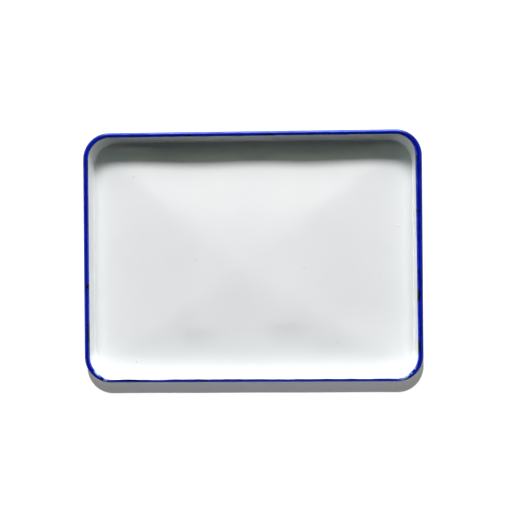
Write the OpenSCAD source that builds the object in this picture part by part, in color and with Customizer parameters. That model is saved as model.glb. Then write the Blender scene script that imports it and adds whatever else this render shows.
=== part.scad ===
// Enamelled steel palette tray: a shallow pressed tray with a crowned floor and a rolled rim,
// built up in the order it is made: sheet steel, dark ground coat, white cover coats, blue rim coat.
// Millimetres. The origin is on the table under the middle of the tray, +X along its length, +Z up.

/* [Tray] */
// Overall length over the rolled rim
tray_l = 380; // [280:1:440]
// Overall width over the rolled rim
tray_w = 282; // [200:1:340]
// Overall height, from the table to the top of the rim
tray_h = 22; // [17:0.5:36]
// Plan radius of the corners, over the rolled rim
corner_r = 29.5; // [26:0.5:42]

/* [Wall] */
// Lean of the walls out from upright, in degrees
wall_lean = 12.5; // [8:0.5:22]
// Radius of the bend from floor to wall, at the steel's upper face
bend_r = 3; // [2:0.5:9]

/* [Floor] */
// Width of the flat land round the floor, which the tray stands on
land_w = 9; // [7:0.5:16]
// Rise of the floor from its land to its middle
crown_h = 4; // [1:0.25:6]
// Flat strips across each half of the crown
crown_strips = 8; // [5:1:10]

/* [Roundness] */
// Flat strips round the bend
bend_strips = 8; // [5:1:12]
// Flat strips round the rolled rim
roll_strips = 20; // [14:1:28]

/* [Rolled rim] */
// Diameter of the rolled rim, over its enamel
bead_d = 5.8; // [4.8:0.1:7]
// How far round the sheet's edge is rolled, in degrees
roll_turn = 284; // [250:1:288]
// How far the blue coat reaches down the inside of the wall
blue_drop = 0.8; // [0.2:0.1:3]
// How far below the roll the white coat ends on the outside of the wall
throat_drop = 1; // [0.5:0.1:2]

/* [Sheet and coats] */
// Gauge of the sheet steel
steel_t = 0.6; // [0.5:0.05:0.8]
// Thickness of the dark ground coat on each side of the steel
ground_t = 0.12; // [0.1:0.01:0.16]
// Thickness of the white and blue cover coats
cover_t = 0.2; // [0.16:0.01:0.26]

/* [Firing marks] */
// Diameter of the bare spots that the firing points leave under the floor
mark_d = 2; // [1:0.5:4]
// Distance of the firing marks from the middle of the tray, along its length
mark_x = 110; // [60:5:120]

/* [Hidden] */
$fn = 96;

// Each layer lies between two offsets from the steel's upper face, counted towards the inside of
// the tray.
steel = [-steel_t, 0];
ground_in = [0, ground_t];
cover_in = [ground_t, ground_t + cover_t];
ground_out = [-steel_t - ground_t, -steel_t];
cover_out = [-steel_t - ground_t - cover_t, -steel_t - ground_t];
face_z = steel_t + ground_t + cover_t; // the steel's upper face on the flat land

// The wall section is drawn in a plane through a corner's axis: x outwards from that axis, y up.
// The bend's middle follows from the roll's, because the wall lies against both. It is rounded to
// a micron, so that the bend meets the flat land exactly.
function micron(v) = round(1000 * v) / 1000;
axis_x = tray_l / 2 - corner_r;
axis_y = tray_w / 2 - corner_r;
roll_r = bead_d / 2 - ground_t - cover_t; // to the steel's outer face on the roll
roll_c = [corner_r - bead_d / 2, tray_h - bead_d / 2];
bend_y = face_z + bend_r;
wall_out = bend_r + roll_r; // from the bend's middle to the roll's, square to the wall
bend_x = micron(roll_c[0] - (wall_out + (roll_c[1] - bend_y) * sin(wall_lean)) / cos(wall_lean));
bend_c = [bend_x, bend_y];
along = [sin(wall_lean), cos(wall_lean)]; // up the wall
inward = [-cos(wall_lean), sin(wall_lean)]; // square to the wall, into the tray
roll_from = 180 - wall_lean;
roll_to = roll_from - roll_turn; // where the sheet's edge is
cap_to = roll_to - ground_t / roll_r * 180 / PI; // with a ground coat over the edge

// The floor's flat plate ends where the bend starts, and the crown rises inside its land.
plate_x = axis_x + bend_x;
plate_y = axis_y + bend_x;
crown_x = plate_x - land_w;
crown_y = plate_y - land_w;
below = 10; // how far cutting shapes reach below the table
mark_y = plate_y - land_w / 2;

// A point at a radius and an angle from a middle.
function polar(middle, radius, angle) = middle + radius * [cos(angle), sin(angle)];

// Points round the bend, from the floor to the wall, at an offset from the steel's upper face.
function bend_line(offset) = [
    for (i = [0 : bend_strips])
        polar(bend_c, bend_r - offset, -90 + (90 - wall_lean) * i / bend_strips)
];

// Points round the roll, from the wall to the sheet's edge, at an offset from its upper face.
function roll_line(offset) = [
    for (i = [0 : roll_strips])
        polar(roll_c, roll_r + offset, roll_from - roll_turn * i / roll_strips)
];

// The point at an offset, a distance down the wall from where the roll starts.
function on_wall(offset, drop) = roll_c + (roll_r + offset) * inward - drop * along;

function backwards(points) = [for (i = [len(points) - 1 : -1 : 0]) points[i]];

// A layer in section from the floor round the roll, with its end at the sheet's edge.
module full_section(layer) {
    polygon(concat(
        bend_line(layer[0]), roll_line(layer[0]),
        backwards(roll_line(layer[1])), backwards(bend_line(layer[1]))
    ));
}

// A layer in section from the floor to a distance below the roll.
module wall_section(layer, drop) {
    polygon(concat(
        bend_line(layer[0]), [on_wall(layer[0], drop), on_wall(layer[1], drop)],
        backwards(bend_line(layer[1]))
    ));
}

// The inside ground coat in section, which turns in over the sheet's cut edge.
module capped_section(layer) {
    edge_r = roll_r - steel_t;
    polygon(concat(
        bend_line(layer[0]), roll_line(layer[0]),
        [polar(roll_c, edge_r, roll_to), polar(roll_c, edge_r, cap_to)],
        [polar(roll_c, roll_r + layer[1], cap_to)],
        backwards(roll_line(layer[1])), backwards(bend_line(layer[1]))
    ));
}

// The rim coat in section, from a distance below the roll round to the capped edge.
module rim_section(layer, drop) {
    polygon(concat(
        [on_wall(layer[0], drop)], roll_line(layer[0]),
        [for (offset = layer) polar(roll_c, roll_r + offset, cap_to)],
        backwards(roll_line(layer[1])), [on_wall(layer[1], drop)]
    ));
}

// Carries a section round the tray: four straight walls and four quarter-turn corners.
module round_the_tray() {
    for (side = [0, 180]) {
        rotate([0, 0, side]) translate([axis_x, 0, 0]) rotate([90, 0, 0])
            linear_extrude(2 * axis_y, center = true) children();
        rotate([0, 0, side + 90]) translate([axis_y, 0, 0]) rotate([90, 0, 0])
            linear_extrude(2 * axis_x, center = true) children();
        rotate([0, 0, side]) translate([axis_x, axis_y, 0])
            rotate_extrude(angle = 90) children();
        rotate([0, 0, side]) translate([-axis_x, axis_y, 0])
            rotate([0, 0, 90]) rotate_extrude(angle = 90) children();
    }
}

// Everything under a vault that is arched across one half width and straight along the other.
module arch(half_span, half_length, top) {
    rotate([90, 0, 0]) linear_extrude(2 * half_length, center = true)
        polygon(concat([[half_span, -below], [-half_span, -below]], [
            for (i = [-crown_strips : crown_strips])
                let (t = i / crown_strips) [half_span * t, top + crown_h * (1 - t * t)]
        ]));
}

// Everything under the crown, which falls to its land on all four sides.
module under_crown(top) {
    intersection() {
        arch(crown_x, crown_y, top);
        rotate([0, 0, 90]) arch(crown_y, crown_x, top);
    }
}

// The flat land of one layer, round the crown.
module land(layer) {
    translate([0, 0, face_z + layer[0]]) linear_extrude(layer[1] - layer[0])
        difference() {
            union() {
                square([2 * plate_x, 2 * axis_y], center = true);
                square([2 * axis_x, 2 * plate_y], center = true);
                for (x = [-1, 1], y = [-1, 1])
                    translate([x * axis_x, y * axis_y]) circle(r = bend_x);
            }
            square([2 * crown_x, 2 * crown_y], center = true);
        }
}

// The whole floor of one layer.
module floor_sheet(layer) {
    land(layer);
    difference() {
        under_crown(face_z + layer[1]);
        under_crown(face_z + layer[0]);
    }
}

// Sheet steel, drawn in one piece with its edge rolled outwards and under.
module steel_pressing() {
    color("slategray") {
        floor_sheet(steel);
        round_the_tray() full_section(steel);
    }
}

// Dark grip coat on the upper face, over the roll and round the sheet's cut edge.
module ground_coat_inside() {
    color("midnightblue") {
        floor_sheet(ground_in);
        round_the_tray() capped_section(ground_in);
    }
}

// The same coat on the lower face, carried into the roll as far as the slip runs.
module ground_coat_outside() {
    color("darkslateblue") {
        floor_sheet(ground_out);
        round_the_tray() full_section(ground_out);
    }
}

// White cover coat of the well, up to the blue rim.
module white_enamel_inside() {
    color("white") {
        floor_sheet(cover_in);
        round_the_tray() wall_section(cover_in, blue_drop);
    }
}

// A bare spot where a firing point held the tray in the kiln, cut right through the coat.
module firing_mark() {
    cylinder(d = mark_d, h = 2 * below, center = true);
}

// White cover coat of the underside and of the wall up to the roll.
module white_enamel_outside() {
    color("whitesmoke") difference() {
        union() {
            floor_sheet(cover_out);
            round_the_tray() wall_section(cover_out, throat_drop);
        }
        for (x = [-mark_x, mark_x], y = [-mark_y, mark_y])
            translate([x, y, 0]) firing_mark();
    }
}

// Blue coat over the roll, from the top of the wall round to the sheet's edge.
module blue_rim_enamel() {
    color("mediumblue") round_the_tray() rim_section(cover_in, blue_drop);
}

steel_pressing();
ground_coat_inside();
ground_coat_outside();
white_enamel_inside();
white_enamel_outside();
blue_rim_enamel();
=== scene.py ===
"""An enamelled steel palette tray: white well, blue rolled rim, lit from the far side of a white table."""
import math

import bmesh
import bpy
import numpy as np
from mathutils import Euler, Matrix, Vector, noise


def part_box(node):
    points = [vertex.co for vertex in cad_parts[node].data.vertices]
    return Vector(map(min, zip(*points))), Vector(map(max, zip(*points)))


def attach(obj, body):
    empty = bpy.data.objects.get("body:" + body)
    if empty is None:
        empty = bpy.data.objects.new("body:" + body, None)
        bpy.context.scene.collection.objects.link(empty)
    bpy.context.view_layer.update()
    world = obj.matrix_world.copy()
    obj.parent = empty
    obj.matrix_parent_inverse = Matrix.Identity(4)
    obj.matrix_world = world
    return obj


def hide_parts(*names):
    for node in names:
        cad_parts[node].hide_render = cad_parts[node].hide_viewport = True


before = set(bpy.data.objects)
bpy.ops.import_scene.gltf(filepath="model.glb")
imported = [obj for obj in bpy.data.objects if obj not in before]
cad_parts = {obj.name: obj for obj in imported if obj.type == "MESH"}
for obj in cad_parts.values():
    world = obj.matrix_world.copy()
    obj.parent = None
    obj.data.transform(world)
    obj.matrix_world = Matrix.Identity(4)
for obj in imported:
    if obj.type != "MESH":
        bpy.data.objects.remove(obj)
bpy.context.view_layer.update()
MM = 0.001

# ---------------------------------------------------------------- sizes
# Overall sizes come from the frame; the section's own sizes are those that the coats are built to.
(low_x, low_y, _), (high_x, high_y, high_z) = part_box("blue_rim_enamel")
TRAY_L = high_x - low_x
TRAY_W = high_y - low_y
TRAY_H = high_z
CORNER_R = 29.5 * MM
WALL_LEAN = math.radians(12.5)
BEND_R = 3 * MM
LAND_W = 9 * MM
CROWN_H = 4 * MM
BEAD_D = 5.8 * MM
ROLL_TURN = math.radians(284)
STEEL_T = 0.6 * MM
GROUND_T = 0.12 * MM
COVER_T = 0.2 * MM
BLUE_DROP = 0.8 * MM
THROAT_DROP = 1.0 * MM

# Offsets of each layer's two faces from the steel's upper face, towards the inside of the well.
STEEL = (-STEEL_T, 0)
GROUND_IN = (0, GROUND_T)
COVER_IN = (GROUND_T, GROUND_T + COVER_T)
GROUND_OUT = (-STEEL_T - GROUND_T, -STEEL_T)
COVER_OUT = (-STEEL_T - GROUND_T - COVER_T, -STEEL_T - GROUND_T)

FACE_Z = STEEL_T + GROUND_T + COVER_T
AXIS = np.array([TRAY_L / 2 - CORNER_R, TRAY_W / 2 - CORNER_R])  # the corners' middles
ROLL_R = BEAD_D / 2 - GROUND_T - COVER_T
ROLL_C = np.array([CORNER_R - BEAD_D / 2, TRAY_H - BEAD_D / 2])
BEND_Y = FACE_Z + BEND_R
WALL_OUT = BEND_R + ROLL_R
BEND_X = ROLL_C[0] - (WALL_OUT + (ROLL_C[1] - BEND_Y) * math.sin(WALL_LEAN)) / math.cos(WALL_LEAN)
BEND_C = np.array([BEND_X, BEND_Y])
ALONG = np.array([math.sin(WALL_LEAN), math.cos(WALL_LEAN)])  # up the wall
INWARD = np.array([-math.cos(WALL_LEAN), math.sin(WALL_LEAN)])  # square to the wall, into the well
ROLL_FROM = math.pi - WALL_LEAN
ROLL_TO = ROLL_FROM - ROLL_TURN
CAP_TO = ROLL_TO - GROUND_T / ROLL_R
PLATE = AXIS + BEND_X  # half length and half width of the floor, out to the bend
CROWN = PLATE - LAND_W  # the same of its raised part, out to the land
WALL_TOP = ROLL_C + ROLL_R * INWARD
WALL_FOOT = BEND_C - BEND_R * INWARD
WALL_LEN = float(np.linalg.norm(WALL_TOP - WALL_FOOT))
ROLL_END = (CAP_TO - ROLL_FROM) * ROLL_R
FLOOR_BAND = 0.5 * MM  # how far above its upper face a point still belongs to the floor
NO_LENGTH = 1e-9

# Bare spots underneath, where the firing points stood.
MARK_X = 110 * MM
MARK_Y = PLATE[1] - LAND_W / 2
MARK_R = 1 * MM

# How finely the pieces are made.
STATION = 2.5 * MM
CORNER_POINTS = 48
BEND_STEPS = 8
WALL_STEPS = 6
LIP_STEPS = 14
LIP_FROM = 6 * MM  # how far below the roll the closer steps towards a seam start
ROLL_STEPS = 36
FLOOR_RINGS = 28
DOME_SEGMENTS = 14
DOME_RINGS = 8
SHARP_FROM = math.radians(50)  # angle between faces from which their edge is drawn sharp

# How the drawn and fired tray strays from its tool's shape.
CORNER_DRAW = 9 * MM  # how much rounder the corners are at the foot than at the rim
DRAW_FROM = 19 * MM  # height at which that starts
DRAW_FULL = 4 * MM  # height from which it is full
CROWN_TOP = np.array([-16, -16]) * MM  # where the floor's four slopes meet
CROWN_ARCH = 1.3  # 1 for straight slopes, 2 for arched ones
HIP_SOFTNESS = 0.035  # as a share of the crown's height
FOOT_SOFTNESS = 0.15
TAPER = 0.0073  # how much narrower the left end came out
LEFT_SLANT = 0.9 * MM  # how far the left side leans in at its far end
ROLL_SWELL = 0.9 * MM  # how much further in the right side's roll reaches than the tool's
ROLL_SWELL_SLANT = 0.5 * MM  # how much more than that at its far end, and less at its near end
SWELL_FROM = 9 * MM  # height at which that starts
SIDE_POWER = 6  # how closely that keeps to the right side
RIM_WAVE = 1.1 * MM
RIM_WAVE_LENGTH = 120 * MM
RIM_WAVE_LOW = 2 * MM  # a place along the tray where the rim dips most
RIM_WAVE_NEAR = 0.3  # share of the wave that the near side has

# Swells of the floor: place, reach along the tray, reach to the far and to the near side, and height,
# in millimetres.
FLOOR_SWELLS = [
    (-63, -79, 19, 50, 13, 1.1),
    (38, -73, 24, 55, 14, 1.15),
    (84, -92, 24, 45, 11, 0.6),
    (-140, -86, 30, 50, 15, 0.35),
    (108, -68, 22, 22, 22, -0.45),
    (-14, -12, 5, 14, 4, 0.3),
    (0, 34, 120, 40, 70, 0.5),
    (150, -60, 30, 30, 40, -0.4),
    (-120, 40, 60, 50, 50, 0.3),
    (-158, 106, 32, 20, 36, 0.9),
    (155, 106, 30, 20, 36, 0.5),
    (0, -104, 220, 50, 18, 0.4),
]

# How far below the roll the blue coat starts on each side of the tray. A negative one starts on the roll.
SEAM_DROP = {"far": -0.8 * MM, "near": -3.0 * MM, "left": 0.7 * MM, "right": 0.8 * MM}
SEAM_SLANT = 0.8 * MM  # how much more at the far end of the right side, and less at its near end
SEAM_POWER = 8  # how closely the near and far seams keep to their sides
SEAM_WANDER = 0.5 * MM
SLOW_WANDER = 55  # slow and quick waves of that wander to a metre
QUICK_WANDER = 260
QUICK_SHARE = 0.4  # height of the quick waves as a share of the slow ones
SLOW_SEED = 1.5
QUICK_SEED = 4.5
DARK_REFLECTION_ACROSS = -0.4 * MM  # place across the roll, from its middle line, of a painted reflection: a near-black line standing in for the dark studio that the glossy roll mirrors
BURN_EDGE = 0.25 * MM  # over which a burnt place fades into blue

# Painted highlight: light cyan-white streaks on the blue, standing in for the lamp's glint: a place on the
# roll, two thirds round a near corner.
GLINT_CORNER = (AXIS + np.array([0.5, 0.88]) * ROLL_C[0]) * (1, -1)

# Places where the blue coat burnt away to the ground coat: place on the middle line of the roll,
# half length along it and width along the steel from the seam, in millimetres.
RIM_BURNS = [
    (-187, 100, 7.5, 2.4),
    (-187, -32, 3.2, 4.8),
    (-187, -75, 2.2, 3.6),
    (-187, -88, 12.0, 3.3),
    (-187, -104, 3.0, 2.8),
    (187, 107, 3.4, 4.6),
    (187, 49, 2.2, 4.2),
    (187, -18, 2.0, 4.4),
    (187, -45, 7.5, 4.1),
    (187, -101, 8.5, 3.4),
    (-70, 138, 4.0, 2.6),
    (20, 138, 3.4, 2.6),
    (-140, -138, 14.0, 1.5),
    (-60, -138, 5.0, 1.2),
]

# Pinholes in the white coat, where gas broke through it in the kiln, in millimetres.
PINHOLES = [
    (-134, 91), (-53, 52), (-54, 34), (-80, 10), (-65, -3), (-48, -33), (-74, -87),
    (94, -97), (164, -75), (-133, -118), (-17, 64), (141, -24), (57, -13),
]
BLISTER = (163, 33)

# Colours of the fired coats.
GLASS_IOR = 1.52
GREY_GRAIN = (0.60, 0.62, 0.63)
FIRING_MARK = (0.02, 0.02, 0.025)
COBALT = (0.004, 0.016, 0.46)
COBALT_POOL = (0.002, 0.008, 0.31)
# Painted shade: the roll's outer side, which faces away from the lamps, nearly black.
COBALT_PAINTED_SHADE = (0.001, 0.003, 0.10)
# Painted light, partly a thinner coat: brighter, more cyan blue where the far roll faces the key lamp.
COBALT_FAR_PAINTED_LIGHT = (0.012, 0.07, 0.55)
# Painted light: bright blue on the near roll, which the lamps leave in shade.
COBALT_NEAR_PAINTED_LIGHT = (0.02, 0.08, 0.95)
COBALT_SEAM = (0.012, 0.045, 0.60)
# Painted reflection: near-black along a line on the roll, for the dark studio it mirrors.
COBALT_PAINTED_REFLECTION = (0.001, 0.002, 0.03)
COBALT_FLECK = (0.002, 0.003, 0.03)
COBALT_BURNT = (0.0015, 0.002, 0.006)
# Painted highlight: light cyan-white, for the lamp's glint round the near corners.
COBALT_PAINTED_GLINT = (0.36, 0.58, 0.95)

# Table and studio, in metres. Compass directions are in degrees, where 90 is +Y.
TABLE_SIZE = 6
TABLE_GREY = 0.9
TABLE_GLOW = 0.195
TABLE_GLOW_TINT = (1, 0.985, 0.92)
STUDIO_GLOW = 0.004
BACKDROP_FULL = math.radians(4)  # angle up to which glossy surfaces see a white backdrop
BACKDROP_END = math.radians(34)  # angle by which it has faded out
FAR_SIDE = 90
LEFT_SIDE = 180
RIGHT_SIDE = 0
KEY_TINT = (1.0, 0.930, 0.962)
BOUNCE_TINT = (0.84, 1.0, 0.84)
NO_TINT = (1, 1, 1)
SUN_AZIMUTH = 93
SUN_ELEVATION = 55.5
SUN_STRENGTH = 3.7
SUN_SPREAD = math.radians(2.5)

# Dim lights overhead, which the shaded floor mirrors: place along the tray and width.
CEILING_LIGHTS = [(-0.39, 0.07), (-0.23, 0.15), (0.02, 0.19), (0.19, 0.03)]
CEILING_AWAY = 3
CEILING_ELEVATION = 82.4
CEILING_LIGHT_DEPTH = 0.26
CEILING_WATTS = 0.68  # to a metre of width
CEILING_TINT = (1.0, 1.0, 0.85)

# Camera: above the tray, a little towards the light and the right.
CAMERA_AWAY = 2.5
CAMERA_REACH = 20
CAMERA_TURN = Euler((math.radians(-1.5), math.radians(2.2), math.radians(-0.56)), "XYZ")
CAMERA_AIM = Vector((3.05 * MM, 0.38 * MM, 0))
FRAME_PIXELS = 512
LENS_PIXELS = 2217.5  # focal length, in pixels of a frame that wide
SENSOR = 36


# ---------------------------------------------------------------- section of a coat
def polar(middle, radius, angle):
    """A point of a circle."""
    return middle + radius * np.array([math.cos(angle), math.sin(angle)])


def bend_line(offset):
    """Points round the bend, from the floor to the foot of the wall."""
    down = -math.pi / 2
    turn = math.pi / 2 - WALL_LEAN
    return [polar(BEND_C, BEND_R - offset, down + turn * i / BEND_STEPS) for i in range(BEND_STEPS + 1)]


def wall_and_roll(offset, reach):
    """Points up the wall and round the roll. Reach is measured along the steel from where the wall
    meets the roll: positive down the wall and negative round the roll."""
    reach = np.asarray(reach)
    turned = ROLL_FROM + np.minimum(reach, 0) / ROLL_R
    round_roll = (ROLL_R + offset) * np.stack([np.cos(turned), np.sin(turned)], axis=-1)
    return ROLL_C + round_roll - np.maximum(reach, 0)[..., None] * ALONG


def wall_reaches(drop):
    """From the foot of the wall to a seam, with closer steps near the seam."""
    drop = np.asarray(drop)[..., None]
    low = np.linspace(WALL_LEN, LIP_FROM, WALL_STEPS + 1)[1:] + 0 * drop
    high = LIP_FROM + (drop - LIP_FROM) * np.linspace(0, 1, LIP_STEPS + 1)[1:]
    return np.concatenate([low, high], axis=-1)


def rim_reaches(drop):
    """From a seam round the roll to the sheet's covered edge."""
    drop = np.asarray(drop)[..., None]
    return drop + (ROLL_END - drop) * np.linspace(0, 1, ROLL_STEPS + 1)


def whole_reaches():
    """From the foot of the wall all the way round the roll to the sheet's cut edge."""
    round_roll = np.linspace(0, (ROLL_TO - ROLL_FROM) * ROLL_R, ROLL_STEPS + 1)[1:]
    return np.concatenate([wall_reaches(0.0), round_roll])


def section(layer, reaches, foot=True, cap=()):
    """A coat's section: out along its upper face, over its end and back along its lower face."""
    lower, upper = ((bend_line(o) if foot else []) + list(wall_and_roll(o, reaches)) for o in layer)
    return upper + list(cap) + lower[::-1]


def sheet_edge_cap(layer):
    """Carries the coat in the well over the sheet's cut edge, inside the roll."""
    outer_r = ROLL_R + layer[1]
    inner_r = ROLL_R - STEEL_T
    return [polar(ROLL_C, outer_r, CAP_TO), polar(ROLL_C, inner_r, CAP_TO), polar(ROLL_C, inner_r, ROLL_TO)]


# ---------------------------------------------------------------- shape of the fired tray
def smooth_step(t):
    """Eases from 0 to 1."""
    t = np.clip(t, 0, 1)
    return t * t * (3 - 2 * t)


def outward(p):
    """Seen from above: the nearest place between the corners' middles, the way out from it, and how far."""
    inner = np.clip(p[..., :2], -AXIS, AXIS)
    outer = p[..., :2] - inner
    reach = np.maximum(np.linalg.norm(outer, axis=-1, keepdims=True), NO_LENGTH)
    return inner, outer / reach, reach


def draw_corners(p):
    """Rounds the corners more towards the foot, where the sheet was drawn furthest."""
    inner, out, reach = outward(p)
    more = CORNER_DRAW * smooth_step((DRAW_FROM - p[..., 2:3]) / (DRAW_FROM - DRAW_FULL))
    moved = inner * (AXIS - more) / AXIS + out * (reach + more)
    return np.concatenate([moved, p[..., 2:3]], axis=-1)


def slope_share(at, top, end):
    """Height along one axis as a share of the crown: 1 at its top and 0 at its end on either side."""
    run = np.abs(at - top) / np.where(at > top, end - top, end + top)
    return 1 - np.minimum(run, 1) ** CROWN_ARCH


def crown_height(x, y):
    """Height of the floor above its land: four slopes with soft hips and a soft foot."""
    along = slope_share(x, CROWN_TOP[0], CROWN[0])
    across = slope_share(y, CROWN_TOP[1], CROWN[1])
    lower = -HIP_SOFTNESS * np.logaddexp(-along / HIP_SOFTNESS, -across / HIP_SOFTNESS)
    share = np.maximum(lower, 0)
    rise = np.where(share < FOOT_SOFTNESS, share**2 / (2 * FOOT_SOFTNESS), share - FOOT_SOFTNESS / 2)
    peak = 1 - HIP_SOFTNESS * math.log(2) - FOOT_SOFTNESS / 2
    return CROWN_H * rise / peak


def swell_height(x, y):
    """Height of the floor's own swells and hollows, which die out at its edge."""
    height = np.zeros_like(x)
    for at_x, at_y, reach, far, near, rise in FLOOR_SWELLS:
        across = (y / MM - at_y) / np.where(y / MM > at_y, far, near)
        height += rise * MM * np.exp(-((x / MM - at_x) / reach) ** 2 - across**2)
    inside_x = smooth_step((PLATE[0] - np.abs(x)) / (2 * LAND_W))
    inside_y = smooth_step((PLATE[1] - np.abs(y)) / (2 * LAND_W))
    return height * inside_x * inside_y


def floor_height(x, y):
    """Height above the land, which nothing on the floor lies below."""
    return np.maximum(crown_height(x, y) + swell_height(x, y), 0)


def swell_roll(p):
    """Lets the right side's roll reach further in, with the top of its wall."""
    _, out, reach = outward(p)
    swell = ROLL_SWELL + ROLL_SWELL_SLANT * p[..., 1:2] / AXIS[1]
    on_right = np.clip(out[..., :1], 0, 1) ** SIDE_POWER
    on_inner_half = smooth_step((ROLL_C[0] + ROLL_R - reach) / (2 * ROLL_R))
    on_top = smooth_step((p[..., 2:3] - SWELL_FROM) / (ROLL_C[1] - SWELL_FROM))
    moved = p.copy()
    moved[..., :2] -= out * swell * on_right * on_inner_half * on_top
    return moved


def waver(p):
    """The rim's slow rise and fall, strongest on the far side, and the tray's taper and slant."""
    x, y, z = p[..., 0], p[..., 1], p[..., 2]
    wave = 0.5 + 0.5 * np.cos(2 * math.pi * (x - RIM_WAVE_LOW) / RIM_WAVE_LENGTH)
    side = RIM_WAVE_NEAR + (1 - RIM_WAVE_NEAR) * smooth_step(y / AXIS[1])
    moved = p.copy()
    moved[..., 0] = x + LEFT_SLANT * smooth_step(-x / AXIS[0]) * (0.5 + y / TRAY_W)
    moved[..., 1] = y * (1 - TAPER * (0.5 - x / TRAY_L))
    moved[..., 2] = z - RIM_WAVE * wave * side * np.clip(z / TRAY_H, 0, 1) ** 2
    return moved


# ---------------------------------------------------------------- Geometry Nodes
def node_tree(name, inputs, with_mesh=False):
    """A Geometry Nodes tree with named inputs, and short ways to add a node and a link."""
    tree = bpy.data.node_groups.new(name, "GeometryNodeTree")
    if with_mesh:
        tree.interface.new_socket("Geometry", in_out="INPUT", socket_type="NodeSocketGeometry")
    for label, kind in inputs:
        tree.interface.new_socket(label, in_out="INPUT", socket_type=kind)
    tree.interface.new_socket("Geometry", in_out="OUTPUT", socket_type="NodeSocketGeometry")

    def add(kind, **settings):
        node = tree.nodes.new(kind)
        for key, value in settings.items():
            setattr(node, key, value)
        return node

    return tree, add, tree.links.new


def sweep_tree():
    """Sweeps a section round the rounded rectangle that the middle of the roll follows."""
    sizes = [
        ("Length", "NodeSocketFloat"),
        ("Width", "NodeSocketFloat"),
        ("Corner Radius", "NodeSocketFloat"),
        ("Station", "NodeSocketFloat"),
        ("Section", "NodeSocketObject"),
        ("Material", "NodeSocketMaterial"),
    ]
    tree, add, link = node_tree("Swept coat", sizes)
    given = add("NodeGroupInput")
    outline = add("GeometryNodeCurvePrimitiveQuadrilateral")
    fillet = add("GeometryNodeFilletCurve", mode="POLY")
    fillet.inputs["Count"].default_value = CORNER_POINTS
    fillet.inputs["Limit Radius"].default_value = True
    even = add("GeometryNodeResampleCurve", mode="LENGTH")
    upright = add("GeometryNodeSetCurveNormal", mode="Z_UP")
    section = add("GeometryNodeObjectInfo")
    sweep = add("GeometryNodeCurveToMesh")
    smooth = add("GeometryNodeSetShadeSmooth")
    real = add("GeometryNodeRealizeInstances")
    finish = add("GeometryNodeSetMaterial")
    out = add("NodeGroupOutput")
    link(given.outputs["Length"], outline.inputs["Width"])
    link(given.outputs["Width"], outline.inputs["Height"])
    link(outline.outputs["Curve"], fillet.inputs["Curve"])
    link(given.outputs["Corner Radius"], fillet.inputs["Radius"])
    link(fillet.outputs["Curve"], even.inputs["Curve"])
    link(given.outputs["Station"], even.inputs["Length"])
    link(even.outputs["Curve"], upright.inputs["Curve"])
    link(given.outputs["Section"], section.inputs["Object"])
    link(upright.outputs["Curve"], sweep.inputs["Curve"])
    link(section.outputs["Geometry"], sweep.inputs["Profile Curve"])
    link(sweep.outputs["Mesh"], smooth.inputs["Geometry"])
    link(smooth.outputs["Geometry"], real.inputs["Geometry"])
    link(real.outputs["Geometry"], finish.inputs["Geometry"])
    link(given.outputs["Material"], finish.inputs["Material"])
    link(finish.outputs["Geometry"], out.inputs["Geometry"])
    return tree


def scatter_tree():
    """Puts a small flattened dome at every point, each sized a little differently."""
    sizes = [
        ("Diameter", "NodeSocketFloat"),
        ("Height", "NodeSocketFloat"),
        ("Spread", "NodeSocketFloat"),
        ("Seed", "NodeSocketInt"),
        ("Material", "NodeSocketMaterial"),
    ]
    tree, add, link = node_tree("Scattered domes", sizes, with_mesh=True)
    given = add("NodeGroupInput")
    points = add("GeometryNodeMeshToPoints")
    dome = add("GeometryNodeMeshUVSphere")
    dome.inputs["Segments"].default_value = DOME_SEGMENTS
    dome.inputs["Rings"].default_value = DOME_RINGS
    dome.inputs["Radius"].default_value = 0.5  # one across, so that the sizes below scale it
    shape = add("ShaderNodeCombineXYZ")
    flat = add("GeometryNodeTransform")
    size = add("FunctionNodeRandomValue", data_type="FLOAT")
    least = add("ShaderNodeMath", operation="SUBTRACT")
    least.inputs[0].default_value = 1
    most = add("ShaderNodeMath", operation="ADD")
    most.inputs[0].default_value = 1
    place = add("GeometryNodeInstanceOnPoints")
    real = add("GeometryNodeRealizeInstances")
    smooth = add("GeometryNodeSetShadeSmooth")
    finish = add("GeometryNodeSetMaterial")
    out = add("NodeGroupOutput")
    link(given.outputs["Geometry"], points.inputs["Mesh"])
    link(given.outputs["Diameter"], shape.inputs["X"])
    link(given.outputs["Diameter"], shape.inputs["Y"])
    link(given.outputs["Height"], shape.inputs["Z"])
    link(dome.outputs["Mesh"], flat.inputs["Geometry"])
    link(shape.outputs["Vector"], flat.inputs["Scale"])
    link(given.outputs["Spread"], least.inputs[1])
    link(given.outputs["Spread"], most.inputs[1])
    smallest, largest = [socket for socket in size.inputs if socket.type == "VALUE"][:2]
    link(least.outputs["Value"], smallest)
    link(most.outputs["Value"], largest)
    link(given.outputs["Seed"], size.inputs["Seed"])
    link(points.outputs["Points"], place.inputs["Points"])
    link(flat.outputs["Geometry"], place.inputs["Instance"])
    drawn = next(socket for socket in size.outputs if socket.type == "VALUE" and socket.enabled)
    link(drawn, place.inputs["Scale"])
    link(place.outputs["Instances"], real.inputs["Geometry"])
    link(real.outputs["Geometry"], smooth.inputs["Geometry"])
    link(smooth.outputs["Geometry"], finish.inputs["Geometry"])
    link(given.outputs["Material"], finish.inputs["Material"])
    link(finish.outputs["Geometry"], out.inputs["Geometry"])
    return tree


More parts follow.
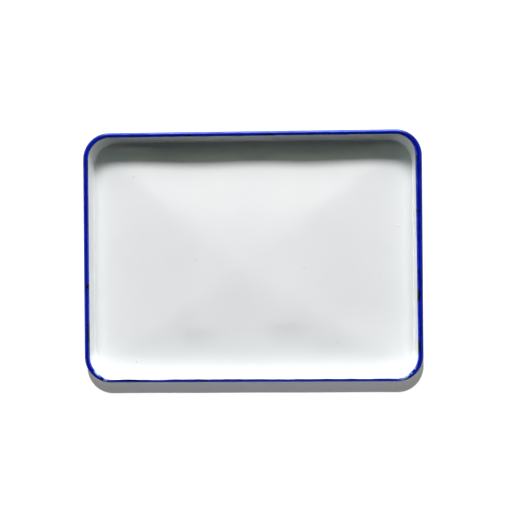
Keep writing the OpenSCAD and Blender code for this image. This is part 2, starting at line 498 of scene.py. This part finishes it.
def grown(name, tree, values, start=None):
    """Runs a tree with the values given by input name and returns the result as a plain mesh object."""
    source = bpy.data.objects.new(name + "_source", start or bpy.data.meshes.new(name + "_source"))
    bpy.context.scene.collection.objects.link(source)
    step = source.modifiers.new("grow", "NODES")
    step.node_group = tree
    for item in tree.interface.items_tree:
        if item.in_out == "INPUT" and item.name in values:
            step[item.identifier] = values[item.name]
    ready = source.evaluated_get(bpy.context.evaluated_depsgraph_get())
    mesh = bpy.data.meshes.new_from_object(ready)
    mesh.name = name
    source.modifiers.remove(step)
    bpy.data.objects.remove(source)
    piece = bpy.data.objects.new(name, mesh)
    bpy.context.scene.collection.objects.link(piece)
    return piece


# ---------------------------------------------------------------- materials
class Finish:
    """A node material with one Principled shader, read through Object coordinates and attributes."""

    def __init__(self, name, **sockets):
        self.material = bpy.data.materials.new(name)
        self.material.use_nodes = True
        tree = self.material.node_tree
        tree.nodes.clear()
        self.tree = tree
        self.shader = tree.nodes.new("ShaderNodeBsdfPrincipled")
        out = tree.nodes.new("ShaderNodeOutputMaterial")
        tree.links.new(self.shader.outputs["BSDF"], out.inputs["Surface"])
        self.where = tree.nodes.new("ShaderNodeTexCoord").outputs["Object"]
        for key, value in sockets.items():
            self.shader.inputs[key.replace("_", " ")].default_value = value

    def link(self, source, target):
        self.tree.links.new(source, target)

    def noise(self, per_metre, detail):
        """Clouds with so many to a metre."""
        node = self.tree.nodes.new("ShaderNodeTexNoise")
        node.inputs["Scale"].default_value = per_metre
        node.inputs["Detail"].default_value = detail
        self.link(self.where, node.inputs["Vector"])
        return node.outputs["Fac"]

    def attribute(self, name):
        """A value that the piece's own points carry."""
        node = self.tree.nodes.new("ShaderNodeAttribute")
        node.attribute_name = name
        return node.outputs["Fac"]

    def span(self, value, low, high, to_low, to_high):
        """Eases from one result to another as a value goes from low to high."""
        node = self.tree.nodes.new("ShaderNodeMapRange")
        node.interpolation_type = "SMOOTHSTEP"
        node.inputs["From Min"].default_value = low
        node.inputs["From Max"].default_value = high
        node.inputs["To Min"].default_value = to_low
        node.inputs["To Max"].default_value = to_high
        self.link(value, node.inputs["Value"])
        return node.outputs["Result"]

    def mix(self, share, first, second):
        """Blends from one colour to another."""
        node = self.tree.nodes.new("ShaderNodeMix")
        node.data_type = "RGBA"
        self.link(share, node.inputs["Factor"])
        for key, colour in (("A", first), ("B", second)):
            socket = next(s for s in node.inputs if s.name == key and s.type == "RGBA")
            if isinstance(colour, tuple):
                socket.default_value = (*colour, 1)
            else:
                self.link(colour, socket)
        return next(s for s in node.outputs if s.type == "RGBA")

    def axis(self, letter):
        """One of the three Object coordinates."""
        node = self.tree.nodes.new("ShaderNodeSeparateXYZ")
        self.link(self.where, node.inputs[0])
        return node.outputs[letter]

    def away_from(self, x, y, mirrored="X"):
        """Distance seen from above to a place and to its mirror images on the axes that are named."""
        squares = []
        for letter, place in (("X", x), ("Y", y)):
            at = self.axis(letter)
            if letter in mirrored:
                at = self.maths("ABSOLUTE", at)
            squares.append(self.maths("POWER", self.maths("SUBTRACT", at, place), 2))
        return self.maths("SQRT", self.maths("ADD", *squares))

    def maths(self, operation, *values):
        """One step of arithmetic on other nodes' results and plain numbers."""
        node = self.tree.nodes.new("ShaderNodeMath")
        node.operation = operation
        for socket, value in zip(node.inputs, values):
            if isinstance(value, (int, float)):
                socket.default_value = value
            else:
                self.link(value, socket)
        return node.outputs["Value"]

    def bump(self, *layers):
        """Layers of (height, distance in metres), each laid over the one before."""
        normal = None
        for height, distance in layers:
            node = self.tree.nodes.new("ShaderNodeBump")
            node.inputs["Distance"].default_value = distance
            self.link(height, node.inputs["Height"])
            if normal:
                self.link(normal, node.inputs["Normal"])
            normal = node.outputs["Normal"]
        self.link(normal, self.shader.inputs["Normal"])

    def set(self, socket, value):
        """Lets a result drive one of the shader's own inputs."""
        self.link(value, self.shader.inputs[socket])


def white_enamel(name, warmth=0.0):
    """White cover coat: glossy, faintly cool and slightly uneven, with fine grey grain."""
    finish = Finish(name, IOR=GLASS_IOR)
    cloud = finish.span(finish.noise(22, 2), 0.35, 0.65, 0, 1)
    base = finish.mix(cloud, (0.773, 0.829, 0.822 - warmth), (0.783, 0.839, 0.834 - warmth))
    grain = finish.span(finish.noise(900, 2), 0.66, 0.78, 0, 0.06)
    finish.set("Base Color", finish.mix(grain, base, GREY_GRAIN))
    finish.set("Roughness", finish.span(finish.noise(60, 3), 0.3, 0.7, 0.05, 0.09))
    finish.bump((finish.noise(16, 1), 0.12 * MM), (finish.noise(420, 2), 0.004 * MM))
    return finish


def underside_white():
    """The white coat underneath, with bare spots where the firing points stood."""
    finish = white_enamel("white_cover_enamel_underside", warmth=0.01)
    away = finish.away_from(MARK_X, MARK_Y, mirrored="XY")
    bare = finish.span(away, 0.8 * MARK_R, 1.1 * MARK_R, 1, 0)
    painted = finish.shader.inputs["Base Color"].links[0].from_socket
    finish.set("Base Color", finish.mix(bare, painted, FIRING_MARK))
    return finish.material


def blue_on_sides(finish):
    """Cobalt blue in clouds, with painted light and shade: a painted dark reflection along a line on the
    roll, painted shade outside it, painted light on the far and near sides, and brighter along the seam.
    Also returns how close a place is to that seam."""
    pool = finish.span(finish.noise(70, 3), 0.35, 0.7, 0, 1)
    base = finish.mix(pool, COBALT, COBALT_POOL)
    # Painted shade: the outer side of the roll, facing away from the lamps, darkened.
    outer = finish.span(finish.attribute("across"), 0.6 * MM, 2.4 * MM, 0, 0.75)
    base = finish.mix(outer, base, COBALT_PAINTED_SHADE)
    # Painted light, partly a thinner coat: the far roll, which faces the key lamp, brighter and more cyan.
    far = finish.span(finish.axis("Y"), TRAY_W / 2 - 3 * MM, TRAY_W / 2 - 1.5 * MM, 0, 1)
    base = finish.mix(far, base, COBALT_FAR_PAINTED_LIGHT)
    edge = finish.span(finish.attribute("from_seam"), 0.1 * MM, 1.8 * MM, 1, 0)
    base = finish.mix(edge, base, COBALT_SEAM)
    # Painted light: the near roll brightened, where the lamps leave it in shade.
    near = finish.span(finish.axis("Y"), -TRAY_W / 2 + 3.5 * MM, -TRAY_W / 2 + 1.5 * MM, 0, 1)
    base = finish.mix(near, base, COBALT_NEAR_PAINTED_LIGHT)
    # Painted reflection: a near-black line along the roll, standing in for the dark studio that the glossy
    # roll mirrors.
    from_dark_reflection = finish.maths("ABSOLUTE", finish.maths("SUBTRACT", finish.attribute("across"), DARK_REFLECTION_ACROSS))
    painted_dark_reflection = finish.span(from_dark_reflection, 0.2 * MM, 1.1 * MM, 0.6, 0)
    return finish.mix(painted_dark_reflection, base, COBALT_PAINTED_REFLECTION), edge


def blue_enamel():
    """Cobalt glass with painted highlight streaks at the near corners, dark flecks and burnt places."""
    finish = Finish("cobalt_blue_enamel", IOR=GLASS_IOR, Specular_IOR_Level=0.22)
    base, edge = blue_on_sides(finish)
    # Painted highlight: light streaks round the near corners, standing in for the lamp's glint on the roll.
    corner = finish.span(finish.away_from(*GLINT_CORNER), 6 * MM, 17 * MM, 1, 0)
    lip = finish.span(finish.attribute("from_seam"), 1.4 * MM, 3.6 * MM, 1, 0)
    glint_streaks = finish.maths("MULTIPLY", finish.span(finish.noise(190, 2), 0.45, 0.56, 0, 0.9), lip)
    base = finish.mix(finish.maths("MULTIPLY", corner, glint_streaks), base, COBALT_PAINTED_GLINT)
    flecks = finish.span(finish.noise(190, 3), 0.63, 0.72, 0, 0.75)
    base = finish.mix(flecks, base, COBALT_FLECK)
    burnt = finish.attribute("burnt")
    finish.set("Base Color", finish.mix(burnt, base, COBALT_BURNT))
    dull = finish.maths("MULTIPLY", edge, finish.maths("SUBTRACT", 1.0, burnt))
    gloss = finish.span(finish.noise(90, 2), 0.3, 0.7, 0.08, 0.2)
    finish.set("Roughness", finish.maths("ADD", gloss, finish.maths("MULTIPLY", dull, 0.3)))
    finish.bump((finish.noise(60, 2), 0.3 * MM), (finish.noise(400, 2), 0.01 * MM))
    return finish.material


def ground_enamel():
    """Dark grip coat, almost black."""
    finish = Finish("ground_coat_enamel", IOR=1.5)
    cloud = finish.span(finish.noise(160, 3), 0.4, 0.6, 0, 1)
    finish.set("Base Color", finish.mix(cloud, (0.006, 0.007, 0.012), (0.016, 0.018, 0.028)))
    finish.set("Roughness", finish.span(finish.noise(240, 3), 0.3, 0.7, 0.18, 0.4))
    finish.bump((finish.noise(700, 2), 0.02 * MM))
    return finish.material


def sheet_steel():
    """Drawn steel, which the coats hide."""
    finish = Finish("drawn_sheet_steel", Metallic=1.0)
    cloud = finish.span(finish.noise(80, 4), 0.35, 0.65, 0, 1)
    finish.set("Base Color", finish.mix(cloud, (0.34, 0.34, 0.35), (0.48, 0.48, 0.49)))
    finish.set("Roughness", finish.span(finish.noise(300, 4), 0.3, 0.7, 0.28, 0.45))
    finish.bump((finish.noise(1200, 2), 0.01 * MM))
    return finish.material


WHITE = white_enamel("white_cover_enamel").material
WHITE_UNDER = underside_white()
BLUE = blue_enamel()
GROUND = ground_enamel()
STEEL_SHEET = sheet_steel()


# ---------------------------------------------------------------- coats
SWEEP = sweep_tree()


def section_object(points, closed):
    """A section as a curve: x away from the middle of the roll, y down from it."""
    data = bpy.data.curves.new("section", "CURVE")
    data.dimensions = "3D"
    spline = data.splines.new("POLY")
    spline.points.add(len(points) - 1)
    spline.use_cyclic_u = closed
    for target, point in zip(spline.points, points):
        x, z = point - ROLL_C
        target.co = (x, -z, 0, 1)
    holder = bpy.data.objects.new("section", data)
    bpy.context.scene.collection.objects.link(holder)
    return holder


def swept(name, points, material, closed):
    """A section swept once round the rim."""
    holder = section_object(points, closed)
    values = {
        "Length": TRAY_L - BEAD_D,
        "Width": TRAY_W - BEAD_D,
        "Corner Radius": float(ROLL_C[0]),
        "Station": STATION,
        "Section": holder,
        "Material": material,
    }
    piece = grown(name, SWEEP, values)
    bpy.data.objects.remove(holder)
    return piece


def positions(mesh):
    """A mesh's points as rows of numbers."""
    flat = np.empty(len(mesh.vertices) * 3)
    mesh.vertices.foreach_get("co", flat)
    return flat.reshape(-1, 3)


def put_back(mesh, p):
    """Gives a mesh its moved points."""
    mesh.vertices.foreach_set("co", p.reshape(-1))
    mesh.update()


def rim_noise(p, per_metre, seed):
    """Smooth noise at each point of the rim."""
    return np.array([noise.noise(Vector((x * per_metre, y * per_metre, seed))) for x, y in p])


def burn_width(p):
    """How far the blue coat burnt away from the seam at each point of the rim's middle line."""
    width = np.zeros(len(p))
    for at_x, at_y, half, most in RIM_BURNS:
        away = np.linalg.norm(p / MM - (at_x, at_y), axis=1)
        width = np.maximum(width, most * MM * np.exp(-((away / half) ** 4)))
    return width


def seam_drop(place, out):
    """How far below the roll the seam between white and blue runs at each point of the rim."""
    right = SEAM_DROP["right"] + SEAM_SLANT * place[:, 1] / AXIS[1]
    left_right = np.where(out[:, 0] < 0, SEAM_DROP["left"], right)
    near_far = np.where(out[:, 1] < 0, SEAM_DROP["near"], SEAM_DROP["far"])
    share = out[:, 1] ** SEAM_POWER
    slow = rim_noise(place, SLOW_WANDER, SLOW_SEED)
    quick = rim_noise(place, QUICK_WANDER, QUICK_SEED)
    wander = slow + QUICK_SHARE * quick
    return left_right + share * (near_far - left_right) + SEAM_WANDER * wander


def follow_seam(grid, layer, reaches, foot):
    """Redraws a coat's wall and roll so that it ends at the wandering seam, station by station.
    Also returns how far each point is from that seam along the steel, how burnt it is,
    and its place across the roll."""
    first = grid[:, 0, :2]
    inner, out, _ = outward(first)
    drop = seam_drop(first, out)
    marks = reaches(drop)
    rows = marks.shape[1]
    upper_rows = slice(foot, foot + rows)
    lower_rows = slice(foot + 2 * rows - 1, foot + rows - 1, -1)
    away = np.full(grid.shape[:2], WALL_LEN)
    for offset, at in ((layer[1], upper_rows), (layer[0], lower_rows)):
        line = wall_and_roll(offset, marks)
        grid[:, at, :2] = inner[:, None] + out[:, None] * line[..., :1]
        grid[:, at, 2] = line[..., 1]
        away[:, at] = np.abs(marks - drop[:, None])
    burnt = smooth_step((burn_width(inner + out * ROLL_C[0])[:, None] - away) / BURN_EDGE)
    across = np.linalg.norm(grid[..., :2] - inner[:, None], axis=-1) - ROLL_C[0]
    return grid, {"from_seam": away, "burnt": burnt, "across": across}


def open_loops(work):
    """The open edges of a swept shell, gathered into loops."""
    loops = []
    seen = set()
    for first in [e for e in work.edges if e.is_boundary]:
        if first in seen:
            continue
        loop = []
        grow = [first]
        while grow:
            edge = grow.pop()
            if edge in seen:
                continue
            seen.add(edge)
            loop.append(edge)
            for v in edge.verts:
                grow += [e for e in v.link_edges if e.is_boundary and e not in seen]
        loops.append(loop)
    return loops


def fill_to_middle(work, loop):
    """Carries one open loop in to the middle of the floor, ring by ring."""
    base = {v: v.co.copy() for e in loop for v in e.verts}
    height = sum(c.z for c in base.values()) / len(base)
    start = {v: v for v in base}
    edges = loop
    for ring in range(1, FLOOR_RINGS):
        made = bmesh.ops.extrude_edge_only(work, edges=edges)["geom"]
        edges = [g for g in made if isinstance(g, bmesh.types.BMEdge)]
        share = 1 - ring / FLOOR_RINGS
        fresh = {}
        for v in (g for g in made if isinstance(g, bmesh.types.BMVert)):
            old = next(o for e in v.link_edges for o in e.verts if o in start)
            fresh[v] = start[old]
            origin = base[start[old]]
            v.co = (origin.x * share, origin.y * share, height)
        start = fresh
        edges = [e for e in edges if all(v in start for v in e.verts)]
    hub = work.verts.new((0, 0, height))
    for e in edges:
        work.faces.new((*e.verts, hub))


def close_floor(mesh):
    """Closes both faces of a swept shell over the floor and gives the floor its height."""
    work = bmesh.new()
    work.from_mesh(mesh)
    for loop in open_loops(work):
        fill_to_middle(work, loop)
    bmesh.ops.recalc_face_normals(work, faces=work.faces)
    p = np.array([v.co for v in work.verts])
    floor = np.all(np.abs(p[:, :2]) < PLATE, axis=1) & (p[:, 2] < FACE_Z + FLOOR_BAND)
    p[floor, 2] += floor_height(p[:, 0], p[:, 1])[floor]
    for v, place in zip(work.verts, p):
        v.co = place
    for face in work.faces:
        face.smooth = True
    work.to_mesh(mesh)
    work.free()


def coat(name, node, points, material, closed=False, seam=None):
    """One layer of the tray: swept round the rim, bent as firing bent the tray, closed at the floor."""
    piece = swept(name, points, material, closed)
    mesh = piece.data
    grid = positions(mesh).reshape(-1, len(points), 3)
    grid[..., 2] += ROLL_C[1]
    if seam:
        grid, marks = follow_seam(grid, *seam)
        for label, values in marks.items():
            mesh.attributes.new(label, "FLOAT", "POINT").data.foreach_set("value", values.reshape(-1))
    put_back(mesh, waver(swell_roll(draw_corners(grid))))
    if not closed:
        close_floor(mesh)
    mesh.set_sharp_from_angle(angle=SHARP_FROM)
    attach(piece, "root")
    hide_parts(node)


coat("pressed_steel_tray", "steel_pressing",
     section(STEEL, whole_reaches()), STEEL_SHEET)
coat("ground_coat_in_well", "ground_coat_inside",
     section(GROUND_IN, whole_reaches(), cap=sheet_edge_cap(GROUND_IN)), GROUND)
coat("ground_coat_under_tray", "ground_coat_outside",
     section(GROUND_OUT, whole_reaches()), GROUND)
coat("white_coat_in_well", "white_enamel_inside",
     section(COVER_IN, wall_reaches(BLUE_DROP)), WHITE,
     seam=(COVER_IN, wall_reaches, BEND_STEPS + 1))
coat("white_coat_under_tray", "white_enamel_outside",
     section(COVER_OUT, wall_reaches(THROAT_DROP)), WHITE_UNDER)
coat("blue_rim_coat", "blue_rim_enamel",
     section(COVER_IN, rim_reaches(BLUE_DROP), foot=False), BLUE,
     closed=True, seam=(COVER_IN, rim_reaches, 0))


# ---------------------------------------------------------------- faults of the firing
def floor_top(x, y):
    """Height of the white coat's upper face at a place on the floor."""
    return FACE_Z + COVER_IN[1] + float(floor_height(np.array(x), np.array(y)))


def domes(name, places, diameter, height, spread, seed, material):
    """Small flattened domes on the floor, as one piece."""
    start = bpy.data.meshes.new(name + "_points")
    start.from_pydata([(x * MM, y * MM, floor_top(x * MM, y * MM)) for x, y in places], [], [])
    values = {"Diameter": diameter, "Height": height, "Spread": spread, "Seed": seed, "Material": material}
    piece = grown(name, scatter_tree(), values, start)
    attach(piece, "root")


domes("pinholes", PINHOLES, diameter=0.6 * MM, height=0.06 * MM, spread=0.4, seed=7,
      material=GROUND)
domes("blister", [BLISTER], diameter=3.0 * MM, height=0.45 * MM, spread=0.0, seed=1,
      material=WHITE)


# ---------------------------------------------------------------- table, light and camera
def greater(tree, first, second):
    """The greater of two results, of which either may be a plain number."""
    node = tree.nodes.new("ShaderNodeMath")
    node.operation = "MAXIMUM"
    for socket, value in zip(node.inputs, (first, second)):
        if isinstance(value, float):
            socket.default_value = value
        else:
            tree.links.new(value, socket)
    return node.outputs[0]


def table():
    """A white table that keeps the tray's shadow."""
    bpy.ops.mesh.primitive_plane_add(size=TABLE_SIZE)
    plane = bpy.context.object
    plane.name = "table"
    material = bpy.data.materials.new("white_table")
    material.use_nodes = True
    tree = material.node_tree
    tree.nodes.clear()
    add, link = tree.nodes.new, tree.links.new
    diffuse = add("ShaderNodeBsdfDiffuse")
    diffuse.inputs["Color"].default_value = (TABLE_GREY, TABLE_GREY, TABLE_GREY, 1)
    glow = add("ShaderNodeEmission")
    glow.inputs["Color"].default_value = (*TABLE_GLOW_TINT, 1)
    rays = add("ShaderNodeLightPath").outputs
    strength = add("ShaderNodeMath")
    strength.operation = "MULTIPLY"
    strength.inputs[1].default_value = TABLE_GLOW
    both = add("ShaderNodeAddShader")
    surface = add("ShaderNodeOutputMaterial")
    seen = greater(tree, rays["Is Camera Ray"], rays["Is Glossy Ray"])
    link(greater(tree, seen, rays["Is Transmission Ray"]), strength.inputs[0])
    link(strength.outputs[0], glow.inputs["Strength"])
    link(diffuse.outputs[0], both.inputs[0])
    link(glow.outputs[0], both.inputs[1])
    link(both.outputs[0], surface.inputs["Surface"])
    plane.data.materials.append(material)
    return plane


def surroundings():
    """A dark studio with a low white backdrop all round. Above that, only the camera sees white."""
    world = bpy.data.worlds.new("studio")
    world.use_nodes = True
    tree = world.node_tree
    add, link = tree.nodes.new, tree.links.new
    back = tree.nodes["Background"]
    back.inputs["Color"].default_value = (1, 1, 1, 1)
    rays = add("ShaderNodeLightPath").outputs
    place = add("ShaderNodeNewGeometry")
    parts = add("ShaderNodeSeparateXYZ")
    backdrop = add("ShaderNodeMapRange")
    backdrop.inputs["From Min"].default_value = math.sin(BACKDROP_FULL)
    backdrop.inputs["From Max"].default_value = math.sin(BACKDROP_END)
    backdrop.inputs["To Min"].default_value = 1
    backdrop.inputs["To Max"].default_value = 0
    shown = add("ShaderNodeMath")
    shown.operation = "MULTIPLY"
    link(place.outputs["Position"], parts.inputs[0])
    link(parts.outputs["Z"], backdrop.inputs["Value"])
    link(greater(tree, rays["Is Glossy Ray"], rays["Is Transmission Ray"]), shown.inputs[0])
    link(backdrop.outputs["Result"], shown.inputs[1])
    seen = greater(tree, rays["Is Camera Ray"], shown.outputs[0])
    link(greater(tree, seen, STUDIO_GLOW), back.inputs["Strength"])
    bpy.context.scene.world = world


def towards(azimuth, elevation):
    """A direction from two angles in degrees, where azimuth 90 is +Y."""
    a, e = math.radians(azimuth), math.radians(elevation)
    return Vector((math.cos(a) * math.cos(e), math.sin(a) * math.cos(e), math.sin(e)))


def panel(name, distance, azimuth, elevation, width, height, watts, tint):
    """A soft panel that faces the tray."""
    data = bpy.data.lights.new(name, "AREA")
    data.shape = "RECTANGLE"
    data.size = width
    data.size_y = height
    data.energy = watts
    data.color = tint
    lamp = bpy.data.objects.new(name, data)
    lamp.location = distance * towards(azimuth, elevation)
    lamp.rotation_euler = lamp.location.to_track_quat("Z", "Y").to_euler()
    bpy.context.scene.collection.objects.link(lamp)
    return lamp


def only_on(lamp, targets):
    """Lets a lamp light only some objects."""
    group = bpy.data.collections.new(lamp.name + "_targets")
    for target in targets:
        group.objects.link(target)
    lamp.light_linking.receiver_collection = group


def table_sun(targets):
    """A hard light that draws the tray's shadow on the table."""
    data = bpy.data.lights.new("table_sun", "SUN")
    data.energy = SUN_STRENGTH
    data.angle = SUN_SPREAD
    lamp = bpy.data.objects.new("table_sun", data)
    lamp.rotation_euler = towards(SUN_AZIMUTH, SUN_ELEVATION).to_track_quat("Z", "Y").to_euler()
    bpy.context.scene.collection.objects.link(lamp)
    only_on(lamp, targets)


def ceiling_lights(targets):
    """A row of small dim panels overhead."""
    for number, (along, width) in enumerate(CEILING_LIGHTS):
        lamp = panel(f"ceiling_light_{number}", CEILING_AWAY, FAR_SIDE, CEILING_ELEVATION,
                     width, CEILING_LIGHT_DEPTH, CEILING_WATTS * width, CEILING_TINT)
        lamp.location.x = along
        only_on(lamp, targets)


def look_down():
    """The camera over the tray."""
    data = bpy.data.cameras.new("camera")
    data.sensor_width = SENSOR
    data.lens = SENSOR * LENS_PIXELS / FRAME_PIXELS
    data.clip_end = CAMERA_REACH
    camera = bpy.data.objects.new("camera", data)
    camera.rotation_euler = CAMERA_TURN
    camera.location = CAMERA_AIM + CAMERA_TURN.to_matrix() @ Vector((0, 0, CAMERA_AWAY))
    bpy.context.scene.collection.objects.link(camera)
    bpy.context.scene.camera = camera


tray_parts = [o for o in bpy.context.scene.objects if o.type == "MESH"]
coats_under = [o for o in tray_parts if "under" in o.name]
coats_above = [o for o in tray_parts if o not in coats_under]
table_top = table()

# Panels: name, distance, compass direction, elevation, width, height, watts, tint and what they light.
PANELS = [
    ("key", 5, FAR_SIDE, 30, 3.4, 0.75, 374, KEY_TINT, coats_above),
    ("key_spill", 5, FAR_SIDE, 25, 3.4, 1.3, 125, KEY_TINT, coats_above),
    ("key_behind", 5, FAR_SIDE, 30, 3.4, 0.75, 80, KEY_TINT, coats_under),
    ("ceiling_bounce", 2.3, FAR_SIDE, 48, 3.0, 1.0, 6.5, BOUNCE_TINT, tray_parts),
    ("left_card", 2, LEFT_SIDE, 6, 1.6, 0.2, 13, NO_TINT, tray_parts),
    ("right_card", 2, RIGHT_SIDE, 6, 1.6, 0.2, 10, NO_TINT, tray_parts),
]
for *setting, lit in PANELS:
    only_on(panel(*setting), lit)
table_sun([table_top])
ceiling_lights(tray_parts)
surroundings()
look_down()
bpy.context.scene.view_settings.view_transform = "Standard"
